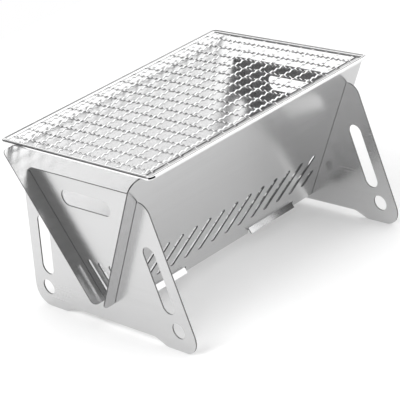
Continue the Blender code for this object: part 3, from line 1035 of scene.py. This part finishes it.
def facing(tree, direction, towards, low, high, amount):
    """A strength that grows smoothly as a direction turns from one angle's cosine to another's."""
    cosine = add_node(
        tree, "ShaderNodeVectorMath", {"operation": "DOT_PRODUCT"}, i0=direction, i1=towards
    ).outputs["Value"]
    return map_range(tree, cosine, low, high, 0.0, amount)


def choose(tree, switch, low, high):
    """One value where a switch is 0, and another where it is 1."""
    return add_node(tree, "ShaderNodeMix", {"data_type": "FLOAT"}, i0=switch, i2=low, i3=high).outputs[0]


def light_studio(stage):
    """An even light all round, and for the steel to mirror a studio lit from the right, above and behind."""
    world = bpy.data.worlds.new("studio")
    bpy.context.scene.world = world
    world.use_nodes = True
    tree = world.node_tree
    tree.nodes.clear()
    direction = add_node(tree, "ShaderNodeTexCoord").outputs["Generated"]
    reflected = stage.dark
    for towards, cosines, amount in (
        (SIDE_LIGHT, SIDE_COSINES, stage.side),
        (UPWARD, SKY_COSINES, stage.above),
        (BACKDROP, BACKDROP_COSINES, stage.backdrop),
    ):
        part = facing(tree, direction, towards, *cosines, amount)
        reflected = math_node(tree, "ADD", reflected, part)
    path = add_node(tree, "ShaderNodeLightPath")
    spilt = math_node(tree, "ADD", stage.around, math_node(tree, "MULTIPLY", reflected, stage.spill))
    light = choose(tree, path.outputs["Is Glossy Ray"], spilt, reflected)
    shown = choose(tree, path.outputs["Is Camera Ray"], light, 1.0)
    sky = add_node(tree, "ShaderNodeBackground", None, Color=(1, 1, 1, 1), Strength=shown)
    output = add_node(tree, "ShaderNodeOutputWorld")
    tree.links.new(sky.outputs[0], output.inputs["Surface"])


def hang_softbox(stage):
    """A large soft lamp on the left, which gives the oven its shadow and which the steel doesn't mirror."""
    data = bpy.data.lights.new("softbox", "AREA")
    data.shape = "SQUARE"
    data.size = stage.lamp_size
    data.energy = stage.lamp_power
    lamp = bpy.data.objects.new("softbox", data)
    lamp.visible_glossy = False
    bpy.context.scene.collection.objects.link(lamp)
    lamp.location = stage.lamp_distance * LAMP_SIDE
    lamp.rotation_euler = LAMP_SIDE.to_track_quat("Z", "Y").to_euler()


def stand_camera():
    """The camera where the photograph was taken from."""
    data = bpy.data.cameras.new("camera")
    data.lens = LENS
    data.sensor_width = FILM_WIDTH
    data.shift_x, data.shift_y = FRAMING_SHIFT
    data.clip_start, data.clip_end = CLIPPING
    camera = bpy.data.objects.new("camera", data)
    bpy.context.scene.collection.objects.link(camera)
    back = -CAMERA_FORWARD.normalized()
    right = CAMERA_UP.cross(back).normalized()
    up = back.cross(right)
    axes = Matrix((right, up, back)).transposed()
    camera.matrix_world = Matrix.Translation(CAMERA_PLACE) @ axes.to_4x4()
    bpy.context.scene.camera = camera


class OVEN_OT_stage(Operator):
    """Set the floor, the studio light and the camera"""

    bl_idname = "camp_oven.stage"
    bl_label = "Stage"

    def execute(self, context):
        stage = context.scene.camp_oven.stage
        lay_floor(stage)
        light_studio(stage)
        hang_softbox(stage)
        stand_camera()
        context.scene.view_settings.view_transform = "Standard"
        return {"FINISHED"}


PIECES = (
    OVEN_OT_end_plates, OVEN_OT_side_panels, OVEN_OT_grate_rim, OVEN_OT_cross_wires,
    OVEN_OT_long_wires, OVEN_OT_stage,
)


class OVEN_PT_pieces(Panel):
    """The pieces of the camp oven"""

    bl_idname = "OVEN_PT_pieces"
    bl_label = "Camp oven"
    bl_space_type = "VIEW_3D"
    bl_region_type = "UI"
    bl_category = "Camp oven"

    def draw(self, context):
        for piece in PIECES:
            self.layout.operator(piece.bl_idname)


CLASSES = (
    SheetSettings, PlateSettings, PanelSettings, RimSettings, NetSettings, SteelSettings, StageSettings,
    OvenSettings, *PIECES, OVEN_PT_pieces,
)


def register():
    for item in CLASSES:
        bpy.utils.register_class(item)
    bpy.types.Scene.camp_oven = PointerProperty(type=OvenSettings)


def unregister():
    del bpy.types.Scene.camp_oven
    for item in reversed(CLASSES):
        bpy.utils.unregister_class(item)


def main():
    register()
    for piece in PIECES:
        family, name = piece.bl_idname.split(".")
        getattr(getattr(bpy.ops, family), name)()


if __name__ == "__main__":
    main()
